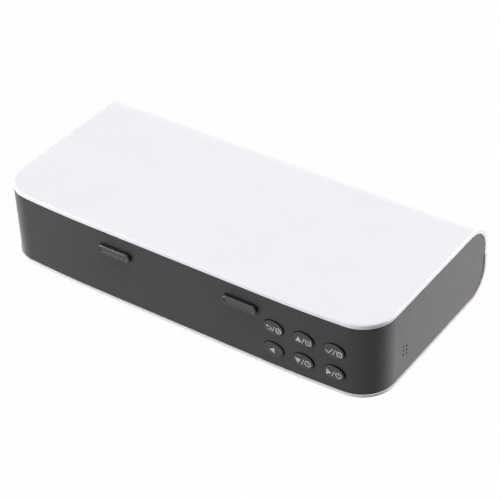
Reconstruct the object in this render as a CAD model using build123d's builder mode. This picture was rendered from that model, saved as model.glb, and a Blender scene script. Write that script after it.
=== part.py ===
from build123d import *

import math
import os

os.makedirs("parts", exist_ok=True)

# Table-top pill dispenser with seven day trays under a hinged lid.
# Millimetres. +X runs along the length, -Y is the front with the keys, +Z is up.
# The origin is under the middle of the body, on the surface that the feet stand on.

# ---------------------------------------------------------------- driving dimensions
band_length = 230.0
band_depth = 108.7
band_height = 39.85
wall = 2.2
front_corner_radius = 18.0
front_bow_start = 54.0
front_bow_radius = 690.0
rear_top_radius = 15.0
rear_bottom_radius = 13.7

foot_height = 1.0
base_floor = 1.9
opening_rear_margin = 11.6
base_rear_wall = 2.65
base_overhang = 0.6
lid_thickness = 2.35
lid_rear_wall = 2.8
lid_round_radius = 16.5
shadow_gap = 0.35
skin_edge_radius = 0.9
fit_gap = 0.3
assembly_gap = 0.1

knuckle_radius = 2.2
knuckle_length = 12.0
side_knuckle_length = 7.0
knuckle_side_gap = 0.4
lug_height = 7.0
lug_root = 1.0
lug_edge = 0.2
hinge_spacing = 140.0
pin_radius = 1.0
pin_running_gap = 0.06
pin_held_gap = 0.02

latch_proud = 2.2
latch_width = 20.0
latch_height = 5.0
latch_spacing = 77.2
latch_pair_x = 1.3
latch_height_above_band = 30.3
latch_travel = 2.0

key_width = 11.8
key_height = 8.5
key_proud = 0.7
key_travel = 0.6
key_pitch_x = 16.95
key_pitch_z = 13.4
key_columns_x = 75.7
key_rows_above_band = 16.6

tray_count = 7
cells_per_tray = 4
tray_width = 21.8
tray_depth = 74.4
tray_height = 23.4
tray_wall = 1.1
tray_gap = 0.4
cell_scoop_radius = 3.5

# ---------------------------------------------------------------- levels and places
base_bottom_z = foot_height
band_bottom_z = base_bottom_z + base_floor
band_top_z = band_bottom_z + band_height
lid_under_z = band_top_z + shadow_gap
lid_top_z = lid_under_z + lid_thickness
seam_z = band_bottom_z + (band_height + shadow_gap) / 2

overall_depth = latch_proud + band_depth + shadow_gap + lid_rear_wall + knuckle_radius
band_front_y = latch_proud - overall_depth / 2
band_rear_y = band_front_y + band_depth
inner_front_y = band_front_y + wall
opening_rear_y = band_rear_y - opening_rear_margin
hinge_y = band_rear_y + shadow_gap + lid_rear_wall
base_rear_y = band_rear_y + base_rear_wall
half_length = band_length / 2
inner_half_length = half_length - wall

corner_centre_x = half_length - front_corner_radius
bow_length = corner_centre_x - front_bow_start
bow_reach = front_bow_radius - front_corner_radius
front_bow_turn = math.degrees(math.asin(bow_length / bow_reach))
corner_centre_y = band_front_y + front_bow_radius - math.sqrt(bow_reach**2 - bow_length**2)

deck_thickness = 1.6
deck_top_z = band_top_z - 2.4
deck_under_z = deck_top_z - deck_thickness
liner_thickness = 1.4
liner_under_z = lid_under_z - liner_thickness

latch_z = band_bottom_z + latch_height_above_band
latch_xs = (latch_pair_x - latch_spacing / 2, latch_pair_x + latch_spacing / 2)
key_middle_z = band_bottom_z + key_rows_above_band
front_face = Plane.XZ.offset(-band_front_y)


# ---------------------------------------------------------------- shared profiles
def plan_outline(z, inset, rear):
    """Outline seen from above, inset from the band's own.

    The flat front bows back in a long arc towards each round corner. The rear is square.
    """
    front = band_front_y + inset
    with BuildSketch(Plane.XY.offset(z)) as outline:
        with BuildLine():
            Line((0, front), (front_bow_start, front))
            bow = JernArc(
                (front_bow_start, front), (1, 0), front_bow_radius - inset, front_bow_turn
            )
            corner = JernArc(bow @ 1, bow % 1, front_corner_radius - inset, 90 - front_bow_turn)
            Polyline(corner @ 1, (half_length - inset, rear), (0, rear))
            mirror(about=Plane.YZ)
        make_face()
    return outline.sketch


def bow_setback(x):
    """How far the front has bowed back at that place along it."""
    return front_bow_radius - math.sqrt(front_bow_radius**2 - (x - front_bow_start) ** 2)


def body_profile(inset):
    """Side view of the body, inset from the band's own: round top and bottom at the back."""
    front = band_front_y - wall
    rear = band_rear_y - inset
    bottom = band_bottom_z + inset
    top = band_top_z - inset
    with BuildSketch(Plane.YZ) as profile:
        with Locations(((front + rear) / 2, (bottom + top) / 2)):
            Rectangle(rear - front, top - bottom)
        fillet(profile.vertices().sort_by_distance((rear, top))[0], rear_top_radius - inset)
        fillet(profile.vertices().sort_by_distance((rear, bottom))[0], rear_bottom_radius - inset)
    return profile.sketch


def wrap_profile(rear_inside, rear_outside, flat_inside, flat_outside, end, radii):
    """Side view of a shell that lies flat and turns round the back up to the seam.

    The radii are those of the turn's inside and outside. The shell is drawn past the front
    wall and is cut to the plan outline afterwards.
    """
    front = band_front_y - wall
    with BuildSketch(Plane.YZ) as profile:
        with BuildLine():
            Polyline(
                (front, flat_inside),
                (front, flat_outside),
                (rear_outside, flat_outside),
                (rear_outside, end),
                (rear_inside, end),
                (rear_inside, flat_inside),
                close=True,
            )
        make_face()
        fillet(profile.vertices().sort_by_distance((rear_inside, flat_inside))[0], radii[0])
        fillet(profile.vertices().sort_by_distance((rear_outside, flat_outside))[0], radii[1])
    return profile.sketch


def skin_rim(shell, flat_face, outer_radius):
    """Outer edges of a wrapped shell: front, corners, both ends and round the back."""
    rim = flat_face.edges().filter_by(lambda edge: edge.center().Y < opening_rear_y - outer_radius)
    round_ends = shell.edges().filter_by(GeomType.CIRCLE)
    rim += round_ends.filter_by(lambda edge: abs(edge.radius - outer_radius) < 0.01)
    rim += shell.edges().filter_by(Axis.Z).group_by(Axis.Y)[-1]
    return rim


def lug_profile(x, wall_y, direction):
    """Hinge knuckle with a lug that runs into the rear wall, above or below the axis."""
    with BuildSketch(Plane.YZ.offset(x)) as lug:
        with Locations((hinge_y, seam_z)):
            Circle(knuckle_radius)
        with Locations((wall_y - lug_root / 2, seam_z + direction * lug_height)):
            Rectangle(lug_root, lug_edge)
        make_hull()
    return lug.sketch


def round_profile(x, radius):
    """Circle about the hinge axis."""
    with BuildSketch(Plane.YZ.offset(x)) as circle:
        with Locations((hinge_y, seam_z)):
            Circle(radius)
    return circle.sketch


def finish(piece, name):
    """Label a finished piece and write its file."""
    piece.part.label = name
    export_step(piece.part, f"parts/{name}.step")


# Middle knuckles belong to the lid and the ones beside them to the base.
lid_knuckle_xs = [side * hinge_spacing / 2 - knuckle_length / 2 for side in (-1, 1)]
base_knuckle_xs = []
for lid_knuckle_x in lid_knuckle_xs:
    base_knuckle_xs.append(lid_knuckle_x - knuckle_side_gap - side_knuckle_length)
    base_knuckle_xs.append(lid_knuckle_x + knuckle_length + knuckle_side_gap)

# ---------------------------------------------------------------- lid shell
lid_end_z = seam_z + assembly_gap
with BuildPart() as lid_shell:
    extrude(
        wrap_profile(
            band_rear_y + shadow_gap,
            hinge_y,
            lid_under_z,
            lid_top_z,
            lid_end_z,
            (rear_top_radius + shadow_gap, lid_round_radius),
        ),
        amount=half_length + wall,
        both=True,
    )
    extrude(
        plan_outline(seam_z, 0, hinge_y + wall), amount=band_height, mode=Mode.INTERSECT
    )
    top_face = lid_shell.faces().sort_by(Axis.Z)[-1]
    fillet(skin_rim(lid_shell, top_face, lid_round_radius), skin_edge_radius)
    for x in base_knuckle_xs:
        extrude(
            round_profile(x - knuckle_side_gap, knuckle_radius + shadow_gap),
            amount=side_knuckle_length + 2 * knuckle_side_gap,
            mode=Mode.SUBTRACT,
        )
    for x in lid_knuckle_xs:
        extrude(lug_profile(x, hinge_y, 1), amount=knuckle_length)
        extrude(
            round_profile(x, pin_radius + pin_running_gap),
            amount=knuckle_length,
            mode=Mode.SUBTRACT,
        )
finish(lid_shell, "lid_shell")

# ---------------------------------------------------------------- lid liner with its hooks
liner_gap = 1.2
liner_rear_gap = 3.5
groove_depth = 0.6
ring_outer_corner = 4.0
ring_inner_corner = 2.5
gasket_width = 1.8
gasket_reach = 2.2
hook_thickness = 1.4
hook_width = 8.0
barb_reach = 1.0
barb_height = 2.0
barb_edge = 0.6
barb_drop = 0.4
flange_thickness = 1.2
flange_front_y = inner_front_y + fit_gap
hook_front_y = flange_front_y + flange_thickness + latch_travel + fit_gap
hook_rear_y = hook_front_y + hook_thickness
flange_rim_x = 1.6
flange_rim_z = 1.0
latch_frame_height = latch_height + 2 * flange_rim_z
barb_top_z = latch_z - latch_frame_height / 2 - barb_drop
hook_foot_z = barb_top_z - barb_height

# The tray well decides where the gasket runs.
tray_pitch = tray_width + tray_gap
well_left_x = 4.0 - inner_half_length
well_right_x = well_left_x + tray_count * tray_pitch + tray_gap
well_rear_y = opening_rear_y - 6.2
well_front_y = well_rear_y - tray_depth - 2 * tray_gap
well_middle_x = (well_left_x + well_right_x) / 2
well_middle_y = (well_front_y + well_rear_y) / 2
well_length = well_right_x - well_left_x
well_breadth = well_rear_y - well_front_y
tray_bottom_z = deck_top_z - 1.0 - tray_height


def ring_sketch(z, margin, width):
    """Flat ring round the mouth of the tray well; margins count from the well's edge."""
    with BuildSketch(Plane.XY.offset(z)) as ring:
        with Locations((well_middle_x, well_middle_y)):
            RectangleRounded(
                well_length + 2 * margin, well_breadth + 2 * margin, ring_outer_corner
            )
            RectangleRounded(
                well_length + 2 * (margin - width),
                well_breadth + 2 * (margin - width),
                ring_inner_corner,
                mode=Mode.SUBTRACT,
            )
    return ring.sketch


with BuildPart() as lid_liner:
    extrude(
        plan_outline(liner_under_z, wall + liner_gap, opening_rear_y - liner_rear_gap),
        amount=liner_thickness,
    )
    extrude(
        ring_sketch(liner_under_z, gasket_reach, gasket_width),
        amount=groove_depth,
        mode=Mode.SUBTRACT,
    )
    for x in latch_xs:
        with BuildSketch(Plane.YZ.offset(x - hook_width / 2)):
            with BuildLine():
                Polyline(
                    (hook_front_y, liner_under_z),
                    (hook_front_y, hook_foot_z),
                    (hook_rear_y, hook_foot_z),
                    (hook_rear_y + barb_reach, barb_top_z - barb_edge),
                    (hook_rear_y + barb_reach, barb_top_z),
                    (hook_rear_y, barb_top_z),
                    (hook_rear_y, liner_under_z),
                    close=True,
                )
            make_face()
        extrude(amount=hook_width)
finish(lid_liner, "lid_liner")

# ---------------------------------------------------------------- lid gasket
gasket_bottom_z = deck_top_z + shadow_gap
with BuildPart() as lid_gasket:
    extrude(
        ring_sketch(gasket_bottom_z, gasket_reach, gasket_width),
        amount=liner_under_z + groove_depth - gasket_bottom_z,
    )
finish(lid_gasket, "lid_gasket")

# ---------------------------------------------------------------- base shell
base_end_z = seam_z - assembly_gap
base_inside_radius = rear_bottom_radius + assembly_gap
base_round_radius = base_inside_radius + base_rear_wall - assembly_gap
foot_radius = 6.0
foot_recess = 0.4
foot_places = [(-96, -36), (96, -36), (-96, 29), (96, 29)]
boss_radius = 3.0
boss_height = 10.0
boss_overlap = 0.4
boss_end = 1.0
corner_reach = (front_corner_radius - wall - boss_radius + boss_overlap) * 0.5**0.5
rear_boss_x = inner_half_length - boss_radius + boss_overlap
rear_boss_y = 30.0
boss_places = [
    (-corner_centre_x - corner_reach, corner_centre_y - corner_reach),
    (corner_centre_x + corner_reach, corner_centre_y - corner_reach),
    (-rear_boss_x, rear_boss_y),
    (rear_boss_x, rear_boss_y),
]
screw_head_radius = 2.7
screw_head_height = 1.0
screw_radius = 1.3
screw_length = 7.0
screw_pilot_gap = 0.05
counterbore_radius = 3.0
counterbore_depth = 1.1
screw_hole_radius = 1.7

post_radius = 2.5
board_thickness = 1.6
main_board_z = 26.0
main_board_length = 56.0
main_board_breadth = 40.0
main_board_x = 79.0
main_board_y = 12.0
main_post_spacing_x = 50.0
main_post_spacing_y = 34.0

usb_x = 92.0
usb_z = 19.2
usb_width = 8.94
usb_height = 3.26
usb_depth = 7.3
usb_opening_width = 9.8
usb_opening_height = 4.1
charge_board_thickness = 1.0
charge_board_z = usb_z - usb_height / 2 - charge_board_thickness
charge_post_y = 36.0
charge_post_spacing = 12.0
pilot_radius = 0.85
pilot_depth = 5.0

with BuildPart() as base_shell:
    extrude(
        wrap_profile(
            band_rear_y + assembly_gap,
            base_rear_y,
            band_bottom_z,
            base_bottom_z,
            base_end_z,
            (base_inside_radius, base_round_radius),
        ),
        amount=half_length + wall,
        both=True,
    )
    extrude(
        plan_outline(base_bottom_z - wall, -base_overhang, base_rear_y + wall),
        amount=band_height,
        mode=Mode.INTERSECT,
    )
    bottom_face = base_shell.faces().sort_by(Axis.Z)[0]
    fillet(skin_rim(base_shell, bottom_face, base_round_radius), skin_edge_radius)
    for x in lid_knuckle_xs:
        extrude(
            round_profile(x - knuckle_side_gap, knuckle_radius + shadow_gap),
            amount=knuckle_length + 2 * knuckle_side_gap,
            mode=Mode.SUBTRACT,
        )
    for x in base_knuckle_xs:
        extrude(lug_profile(x, base_rear_y, -1), amount=side_knuckle_length)
        extrude(
            round_profile(x, pin_radius + pin_held_gap),
            amount=side_knuckle_length,
            mode=Mode.SUBTRACT,
        )
    with BuildSketch(Plane.XY.offset(band_bottom_z)):
        with Locations((main_board_x, main_board_y)):
            with GridLocations(main_post_spacing_x, main_post_spacing_y, 2, 2):
                Circle(post_radius)
    extrude(amount=main_board_z - band_bottom_z)
    with BuildSketch(Plane.XY.offset(band_bottom_z)):
        with Locations((usb_x, charge_post_y)):
            with GridLocations(charge_post_spacing, 1, 2, 1):
                Circle(post_radius)
    extrude(amount=charge_board_z - band_bottom_z)
    with BuildSketch(Plane.XY.offset(main_board_z)):
        with Locations((main_board_x, main_board_y)):
            with GridLocations(main_post_spacing_x, main_post_spacing_y, 2, 2):
                Circle(pilot_radius)
    extrude(amount=-pilot_depth, mode=Mode.SUBTRACT)
    with BuildSketch(Plane.XY.offset(charge_board_z)):
        with Locations((usb_x, charge_post_y)):
            with GridLocations(charge_post_spacing, 1, 2, 1):
                Circle(pilot_radius)
    extrude(amount=-pilot_depth, mode=Mode.SUBTRACT)
    with Locations(Plane.XY.offset(base_bottom_z)):
        with Locations(*[Location((x, y, 0), (180, 0, 0)) for x, y in boss_places]):
            CounterBoreHole(screw_hole_radius, counterbore_radius, counterbore_depth, base_floor)
    with BuildSketch(Plane.XY.offset(base_bottom_z)):
        with Locations(*foot_places):
            Circle(foot_radius)
    extrude(amount=foot_recess, mode=Mode.SUBTRACT)
    with BuildSketch(Plane.XZ.offset(-band_rear_y)):
        with Locations((usb_x, usb_z)):
            SlotOverall(usb_opening_width, usb_opening_height)
    extrude(amount=-2 * base_rear_wall, mode=Mode.SUBTRACT)
finish(base_shell, "base_shell")

# ---------------------------------------------------------------- housing band
key_clearance = 0.25
key_flange_rim = 0.85
key_pocket_rim = key_flange_rim + fit_gap
latch_rail_thickness = 1.4
latch_rail_depth = 8.0
latch_rail_half_span = 9.6
latch_rail_width = latch_rail_half_span - hook_width / 2 - 1.0
latch_rail_pitch = 2 * latch_rail_half_span - latch_rail_width
latch_rail_z = latch_z - latch_frame_height / 2 - fit_gap - latch_rail_thickness / 2
key_boss_radius = 2.2
key_screw_reach = 23.2
sound_hole_radius = 0.6
sound_hole_pitch_y = 3.2
sound_hole_pitch_z = 2.45
sound_hole_middle_y = band_front_y + 29.1
sound_hole_middle_z = band_bottom_z + 13.8
speaker_radius = 10.0
speaker_ring_thickness = 0.8
speaker_ring_height = 4.0
ledge_width = 1.5
ledge_height = 1.6
ledge_length = 72.0
ledge_y = 2.0
key_flange_thickness = 1.0
mat_thickness = 0.8
key_flange_rear_y = inner_front_y + fit_gap + key_flange_thickness
key_board_front_y = key_flange_rear_y + key_travel + fit_gap + mat_thickness
key_screw_places = [
    (key_columns_x + dx, key_middle_z)
    for dx in (-key_screw_reach, -key_pitch_x / 2, key_pitch_x / 2, key_screw_reach)
]

with BuildPart() as band_cavity:
    extrude(body_profile(wall), amount=half_length, both=True)
    extrude(plan_outline(band_bottom_z, wall, band_rear_y), amount=band_height, mode=Mode.INTERSECT)
    for z, rear in (
        (band_top_z - 2 * wall, opening_rear_y),
        (band_bottom_z - wall, band_rear_y - rear_bottom_radius),
    ):
        extrude(plan_outline(z, wall, rear), amount=3 * wall)

with BuildPart() as housing_band:
    extrude(body_profile(0), amount=half_length + wall, both=True)
    extrude(
        plan_outline(band_bottom_z - wall, 0, band_rear_y + wall),
        amount=band_height + 2 * wall,
        mode=Mode.INTERSECT,
    )
    add(band_cavity.part, mode=Mode.SUBTRACT)
    with BuildSketch(Plane.XY.offset(band_bottom_z)):
        with Locations(*boss_places):
            Circle(boss_radius)
    extrude(amount=boss_height)
    with BuildSketch(Plane.XY.offset(band_bottom_z)):
        with Locations(*boss_places):
            Circle(screw_radius + screw_pilot_gap)
    extrude(amount=boss_height - boss_end, mode=Mode.SUBTRACT)
    with BuildSketch(Plane.XY.offset(deck_under_z)):
        for side in (-1, 1):
            with Locations((side * (inner_half_length - ledge_width / 2), ledge_y)):
                Rectangle(ledge_width, ledge_length)
    extrude(amount=-ledge_height)
    with BuildSketch(Plane.XZ.offset(-inner_front_y)):
        with Locations(*[(x, latch_rail_z) for x in latch_xs]):
            with GridLocations(latch_rail_pitch, 1, 2, 1):
                Rectangle(latch_rail_width, latch_rail_thickness)
    extrude(amount=-latch_rail_depth)
    with BuildSketch(front_face):
        with Locations(*[(x, latch_z) for x in latch_xs]):
            SlotOverall(latch_width + 2 * fit_gap, latch_height + 2 * fit_gap)
        with Locations((key_columns_x, key_middle_z)):
            with GridLocations(key_pitch_x, key_pitch_z, 3, 2):
                Ellipse(key_width / 2 + key_clearance, key_height / 2 + key_clearance)
    extrude(amount=-wall, mode=Mode.SUBTRACT)
    with BuildSketch(Plane.XZ.offset(-inner_front_y)):
        with Locations((key_columns_x, key_middle_z)):
            with GridLocations(key_pitch_x, key_pitch_z, 3, 2):
                Ellipse(key_width / 2 + key_pocket_rim, key_height / 2 + key_pocket_rim)
    extrude(amount=-wall, mode=Mode.SUBTRACT)
    with BuildSketch(Plane.XZ.offset(-inner_front_y)):
        with Locations(*key_screw_places):
            Circle(key_boss_radius)
    extrude(amount=inner_front_y - key_board_front_y)
    with BuildSketch(Plane.XZ.offset(-key_board_front_y)):
        with Locations(*key_screw_places):
            Circle(pilot_radius)
    extrude(amount=key_board_front_y - inner_front_y, mode=Mode.SUBTRACT)
    with BuildSketch(Plane.YZ.offset(inner_half_length)):
        with Locations((sound_hole_middle_y, sound_hole_middle_z)):
            Circle(speaker_radius + fit_gap + speaker_ring_thickness)
            Circle(speaker_radius + fit_gap, mode=Mode.SUBTRACT)
    extrude(amount=-speaker_ring_height)
    with BuildSketch(Plane.YZ.offset(half_length)):
        for column in (-0.5, 0.5):
            column_y = sound_hole_middle_y + column * sound_hole_pitch_y
            column_z = sound_hole_middle_z - column * sound_hole_pitch_z / 2
            with Locations((column_y, column_z)):
                with GridLocations(1, sound_hole_pitch_z, 1, 3):
                    Circle(sound_hole_radius)
    extrude(amount=-wall, mode=Mode.SUBTRACT)
    with BuildSketch(Plane.XZ.offset(-band_rear_y)):
        with Locations((usb_x, usb_z)):
            SlotOverall(usb_opening_width, usb_opening_height)
    extrude(amount=wall, mode=Mode.SUBTRACT)
finish(housing_band, "housing_band")

# ---------------------------------------------------------------- deck with the tray well
deck_gap = 0.2
well_wall = 1.5
well_floor = 1.5
well_corner = 1.0
light_hole = 3.0
hook_slot_gap = 0.4
hook_swing = 1.5
board_boss_height = 1.0
window_length = 48.6
window_breadth = 30.6
window_thickness = 1.2
window_ledge = 1.3
window_corner = 2.0
bay_middle_x = (well_right_x + inner_half_length) / 2
window_y = -15.0
light_boss_places = [(-104.0, -31.0), (42.0, -31.0), (-104.0, 28.0), (42.0, 28.0)]
tray_xs = [well_left_x + tray_gap + tray_width / 2 + i * tray_pitch for i in range(tray_count)]
cell_pitch_y = (tray_depth - tray_wall) / cells_per_tray
cell_places = [
    (x, well_middle_y + (row - (cells_per_tray - 1) / 2) * cell_pitch_y)
    for x in tray_xs
    for row in range(cells_per_tray)
]

with BuildPart() as deck:
    extrude(
        plan_outline(deck_under_z, wall + deck_gap, opening_rear_y - deck_gap),
        amount=deck_thickness,
    )
    with BuildSketch(Plane.XY.offset(deck_under_z)):
        with Locations((well_middle_x, well_middle_y)):
            RectangleRounded(
                well_length + 2 * well_wall,
                well_breadth + 2 * well_wall,
                well_corner + well_wall,
            )
    extrude(amount=tray_bottom_z - well_floor - deck_under_z)
    with BuildSketch(Plane.XY.offset(deck_top_z)):
        with Locations((well_middle_x, well_middle_y)):
            RectangleRounded(well_length, well_breadth, well_corner)
    extrude(amount=tray_bottom_z - deck_top_z, mode=Mode.SUBTRACT)
    with BuildSketch(Plane.XY.offset(tray_bottom_z - well_floor)):
        with Locations(*light_boss_places):
            Circle(post_radius)
    extrude(amount=-board_boss_height)
    with BuildSketch(Plane.XY.offset(tray_bottom_z - well_floor - board_boss_height)):
        with Locations(*light_boss_places):
            Circle(pilot_radius)
    extrude(amount=board_boss_height + 0.5 * well_floor, mode=Mode.SUBTRACT)
    with BuildSketch(Plane.XY.offset(deck_under_z)):
        with Locations(*[(x, inner_front_y + 0.5 * latch_rail_depth) for x in latch_xs]):
            with GridLocations(latch_rail_pitch, 1, 2, 1):
                Rectangle(latch_rail_width, latch_rail_depth - 2 * deck_gap)
    extrude(amount=latch_z + latch_frame_height / 2 + fit_gap - deck_under_z)
    with BuildSketch(Plane.XY.offset(tray_bottom_z)):
        with Locations(*cell_places):
            Rectangle(light_hole, light_hole)
    extrude(amount=-well_floor, mode=Mode.SUBTRACT)
    with BuildSketch(Plane.XY.offset(deck_top_z)):
        slot_front_y = hook_front_y - hook_slot_gap
        slot_rear_y = hook_rear_y + barb_reach + hook_swing + hook_slot_gap
        with Locations(*[(x, (slot_front_y + slot_rear_y) / 2) for x in latch_xs]):
            Rectangle(hook_width + 2 * hook_slot_gap, slot_rear_y - slot_front_y)
        with Locations((bay_middle_x, window_y)):
            RectangleRounded(
                window_length - 2 * window_ledge,
                window_breadth - 2 * window_ledge,
                window_corner - window_ledge / 2,
            )
    extrude(amount=-deck_thickness, mode=Mode.SUBTRACT)
    with BuildSketch(Plane.XY.offset(deck_top_z)):
        with Locations((bay_middle_x, window_y)):
            RectangleRounded(
                window_length + 2 * assembly_gap,
                window_breadth + 2 * assembly_gap,
                window_corner + assembly_gap,
            )
    extrude(amount=-window_thickness, mode=Mode.SUBTRACT)
finish(deck, "deck")

# ---------------------------------------------------------------- day trays
tray_top_z = tray_bottom_z + tray_height
tray_floor = 1.2
tray_foot_radius = 3.0
cell_width = tray_width - 2 * tray_wall
cell_breadth = cell_pitch_y - tray_wall
cell_bottom_z = tray_bottom_z + tray_floor


def trough_sketch(x, y, width, bottom, top, radius):
    """End view of a tray or of a cell: straight sides and a rounded bottom."""
    with BuildSketch(Plane.XZ.offset(-y)) as trough:
        with Locations((x, (bottom + top) / 2)):
            Rectangle(width, top - bottom)
        fillet(trough.vertices().group_by(Axis.Y)[0], radius)
    return trough.sketch


for number, tray_x in enumerate(tray_xs, start=1):
    with BuildPart() as day_tray:
        tray_rear_y = well_middle_y + tray_depth / 2
        extrude(
            trough_sketch(
                tray_x, tray_rear_y, tray_width, tray_bottom_z, tray_top_z, tray_foot_radius
            ),
            amount=tray_depth,
        )
        for row in range(cells_per_tray):
            extrude(
                trough_sketch(
                    tray_x,
                    tray_rear_y - tray_wall - row * cell_pitch_y,
                    cell_width,
                    cell_bottom_z,
                    tray_top_z + tray_wall,
                    cell_scoop_radius,
                ),
                amount=cell_breadth,
                mode=Mode.SUBTRACT,
            )
    finish(day_tray, f"day_tray_{number}")

# ---------------------------------------------------------------- light board and its lights
light_board_thickness = 1.2
light_board_margin = 3.0
light_board_top_z = tray_bottom_z - well_floor - board_boss_height
light_size = 2.0
light_height = 0.8

with BuildPart() as light_board:
    with BuildSketch(Plane.XY.offset(light_board_top_z)):
        with Locations((well_middle_x, well_middle_y)):
            Rectangle(
                well_length - 2 * light_board_margin,
                well_breadth - 2 * light_board_margin,
            )
        with Locations(*light_boss_places):
            Circle(pilot_radius, mode=Mode.SUBTRACT)
    extrude(amount=-light_board_thickness)
finish(light_board, "light_board")

with BuildPart() as cell_lights:
    with BuildSketch(Plane.XY.offset(light_board_top_z)):
        with Locations(*cell_places):
            Rectangle(light_size, light_size)
    extrude(amount=light_height)
finish(cell_lights, "cell_lights")

# ---------------------------------------------------------------- display and its window
display_frame_margin = 1.4
display_frame_depth = 3.2
display_board_margin = 3.0
display_board_thickness = 1.2

with BuildPart() as display_window:
    with BuildSketch(Plane.XY.offset(deck_top_z)):
        with Locations((bay_middle_x, window_y)):
            RectangleRounded(window_length, window_breadth, window_corner)
    extrude(amount=-window_thickness)
finish(display_window, "display_window")

with BuildPart() as display_module:
    with BuildSketch(Plane.XY.offset(deck_under_z)):
        with Locations((bay_middle_x, window_y)):
            Rectangle(
                window_length + 2 * display_frame_margin,
                window_breadth + 2 * display_frame_margin,
            )
    extrude(amount=-display_frame_depth)
    with BuildSketch(Plane.XY.offset(deck_under_z - display_frame_depth)):
        with Locations((bay_middle_x, window_y)):
            Rectangle(
                window_length + 2 * display_board_margin,
                window_breadth + 2 * display_board_margin,
            )
    extrude(amount=-display_board_thickness)
finish(display_module, "display_module")

# ---------------------------------------------------------------- main board
chip_size = 10.0
chip_height = 1.2
capacitor_radius = 3.2
capacitor_height = 5.0
capacitor_pitch = 8.0
capacitor_x = 17.0
capacitor_y = 4.0
small_chip_length = 6.0
small_chip_breadth = 5.0
small_chip_places = [(-16.0, 6.0), (14.0, -8.0)]

with BuildPart() as main_board:
    with BuildSketch(Plane.XY.offset(main_board_z)):
        with Locations((main_board_x, main_board_y)):
            Rectangle(main_board_length, main_board_breadth)
            with GridLocations(main_post_spacing_x, main_post_spacing_y, 2, 2):
                Circle(pilot_radius, mode=Mode.SUBTRACT)
    extrude(amount=board_thickness)
    main_board_top = Plane.XY.offset(main_board_z + board_thickness)
    with BuildSketch(main_board_top):
        with Locations((main_board_x, main_board_y)):
            Rectangle(chip_size, chip_size)
            with Locations(*small_chip_places):
                Rectangle(small_chip_length, small_chip_breadth)
    extrude(amount=chip_height)
    with BuildSketch(main_board_top):
        with Locations((main_board_x + capacitor_x, main_board_y + capacitor_y)):
            with GridLocations(1, capacitor_pitch, 1, 2):
                Circle(capacitor_radius)
    extrude(amount=capacitor_height)
finish(main_board, "main_board")

# ---------------------------------------------------------------- keys, mat and key board
key_edge_radius = 0.45
key_board_length = 51.0
key_board_bottom_z = 6.0
key_board_top_z = 34.5
latch_notch_width = 1.8
latch_notch_height = 6.8
mat_margin = 2.3
dome_gap = 0.05
dome_root_radius = 3.0
dome_taper = 40.0
key_names = ("key_left", "key_down", "key_right", "key_back", "key_up", "key_ok")

with BuildPart() as key_board:
    with BuildSketch(Plane.XZ.offset(-key_board_front_y)):
        with Locations((key_columns_x, (key_board_bottom_z + key_board_top_z) / 2)):
            Rectangle(key_board_length, key_board_top_z - key_board_bottom_z)
        with Locations(*key_screw_places):
            Circle(pilot_radius, mode=Mode.SUBTRACT)
        # A notch in the upper corner lets the right latch move back past the board.
        with Locations((key_columns_x - key_board_length / 2, key_board_top_z)):
            Rectangle(2 * latch_notch_width, 2 * latch_notch_height, mode=Mode.SUBTRACT)
    extrude(amount=-board_thickness)
finish(key_board, "key_board")

with BuildPart() as keypad_mat:
    with BuildSketch(Plane.XZ.offset(-key_board_front_y)):
        with Locations((key_columns_x, (key_board_bottom_z + key_board_top_z) / 2)):
            Rectangle(
                key_board_length - 2 * mat_margin,
                key_board_top_z - key_board_bottom_z - 2 * mat_margin,
            )
        with Locations(*key_screw_places):
            Circle(key_boss_radius + fit_gap, mode=Mode.SUBTRACT)
    extrude(amount=mat_thickness)
    dome_height = key_board_front_y - mat_thickness - key_flange_rear_y - dome_gap
    with BuildSketch(Plane.XZ.offset(mat_thickness - key_board_front_y)):
        with Locations((key_columns_x, key_middle_z)):
            with GridLocations(key_pitch_x, key_pitch_z, 3, 2):
                Circle(dome_root_radius)
    extrude(amount=dome_height, taper=dome_taper)
finish(keypad_mat, "keypad_mat")

# The keys are hard caps with a flange that keeps them behind the front wall. Each stands
# proud of the bowed wall by the same amount, so the outer caps are shorter.
key_places = [
    (key_columns_x + column * key_pitch_x, key_middle_z + row * key_pitch_z / 2)
    for row in (-1, 1)
    for column in (-1, 0, 1)
]
for key_name, key_place in zip(key_names, key_places):
    with BuildPart() as key:
        cap_front = key_proud - bow_setback(key_place[0])
        with BuildSketch(front_face.offset(cap_front)):
            with Locations(key_place):
                Ellipse(key_width / 2, key_height / 2)
        extrude(amount=-(cap_front + wall + fit_gap))
        fillet(key.faces().sort_by(Axis.Y)[0].edges(), key_edge_radius)
        with BuildSketch(Plane.XZ.offset(-key_flange_rear_y)):
            with Locations(key_place):
                Ellipse(key_width / 2 + key_flange_rim, key_height / 2 + key_flange_rim)
        extrude(amount=key_flange_thickness)
    finish(key, key_name)

# ---------------------------------------------------------------- latches and their springs
latch_edge_radius = 0.5
dish_margin = 0.9
dish_depth = 0.45
dish_floor_radius = 0.36
arm_width = 3.0
arm_span = 9.0
bar_thickness = 1.6
bar_gap = 1.0
bar_height = 4.0
bar_middle_z = latch_z - latch_frame_height / 2 + bar_height / 2
bar_front_y = hook_rear_y + barb_reach + bar_gap
bar_rear_y = bar_front_y + bar_thickness
spring_wire = 0.35
spring_height = 3.0
spring_half_span = 6.5
well_outer_front_y = well_front_y - well_wall

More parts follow.
